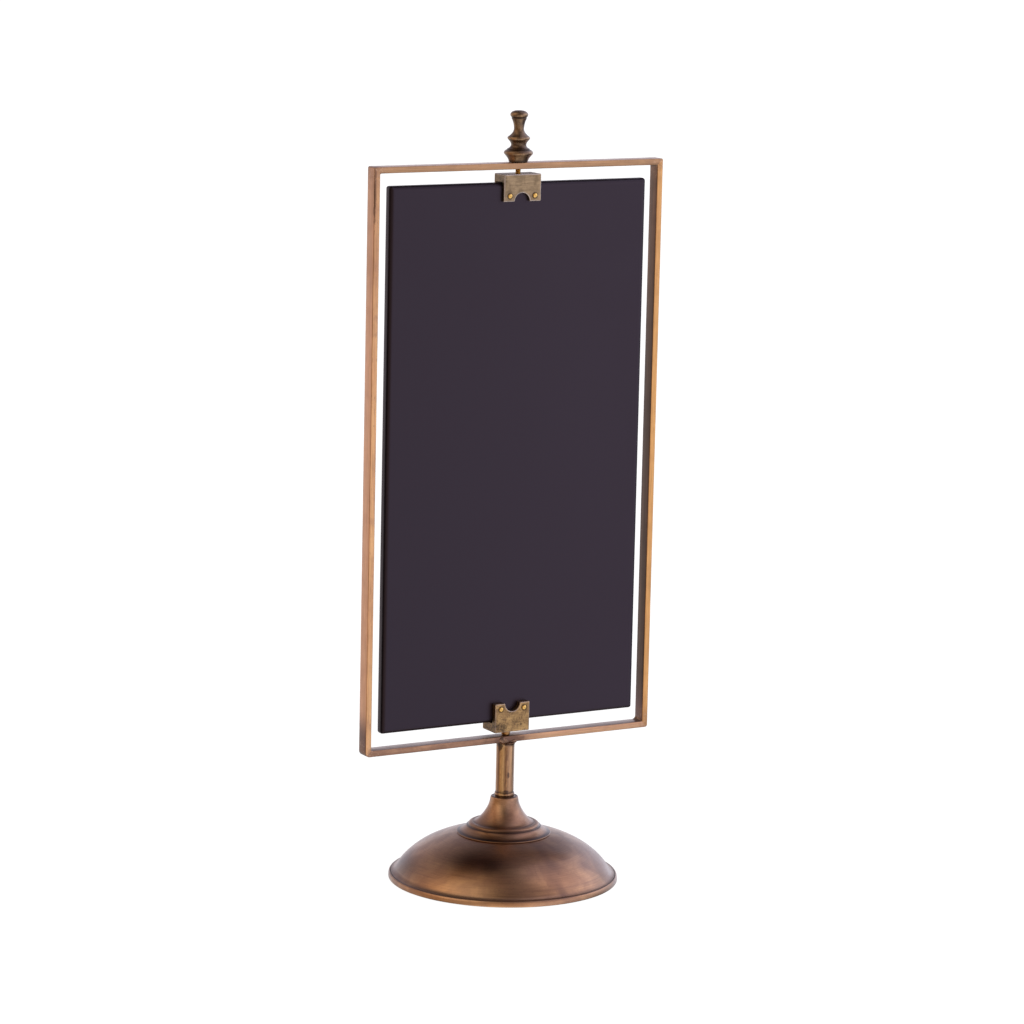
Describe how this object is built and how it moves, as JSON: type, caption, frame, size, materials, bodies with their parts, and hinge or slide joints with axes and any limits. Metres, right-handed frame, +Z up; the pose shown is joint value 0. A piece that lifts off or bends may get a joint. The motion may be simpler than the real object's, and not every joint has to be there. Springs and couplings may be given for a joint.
{
  "type": "tabletop swivel sign stand",
  "caption": "Black sign board swivelling on pins inside an upright flat-bar brass frame with a turned finial, on a short pole over a weighted spun dome base.",
  "frame": {"origin": "middle of the foot's flat underside, on the board's swivel axis", "axes": "+Z up along the pole and the swivel axis; +X along the board at rest, to the right seen from the front; -Y out of the front face of the board"},
  "size_m": [0.2836, 0.2022, 0.6765],
  "materials": {
    "frame_brass": "antiqued brass with a copper tone, satin, brushed along the bar",
    "clamp_brass": "dark olive antique brass, cast and filed, with worn edges",
    "bright_brass": "bright polished brass",
    "base_bronze": "spun brass with a satin dark bronze patina",
    "board_black": "smooth matt black lacquer with a faint sheen",
    "steel": "plain zinc-plated fastener steel",
    "cast_iron": "rough black cast iron",
    "felt": "dense dark felt"
  },
  "bodies": {
    "stand": {"base_dome": "base_bronze", "base_collar": "base_bronze", "base_weight": "cast_iron", "foot_pad": "felt", "tie_rod": "steel", "rod_washer": "steel", "lock_washer": "steel", "rod_nut": "steel", "pole": "frame_brass", "bottom_rail": "frame_brass", "top_rail": "frame_brass", "left_stile": "frame_brass", "right_stile": "frame_brass", "finial": "clamp_brass", "upper_pivot_pin": "bright_brass", "lower_pivot_pin": "bright_brass", "lower_pivot_spacer": "bright_brass"},
    "swivel_board": {"board": "board_black", "upper_clamp": "clamp_brass", "lower_clamp": "clamp_brass", "upper_rivet_1": "bright_brass", "upper_rivet_2": "bright_brass", "lower_rivet_1": "bright_brass", "lower_rivet_2": "bright_brass"}
  },
  "joints": [
    {"name": "board_swivel", "type": "hinge", "parent": "stand", "child": "swivel_board", "pos_m": [0, 0, 0.1342], "axis": [0, 0, 1], "continuous": true}
  ]
}
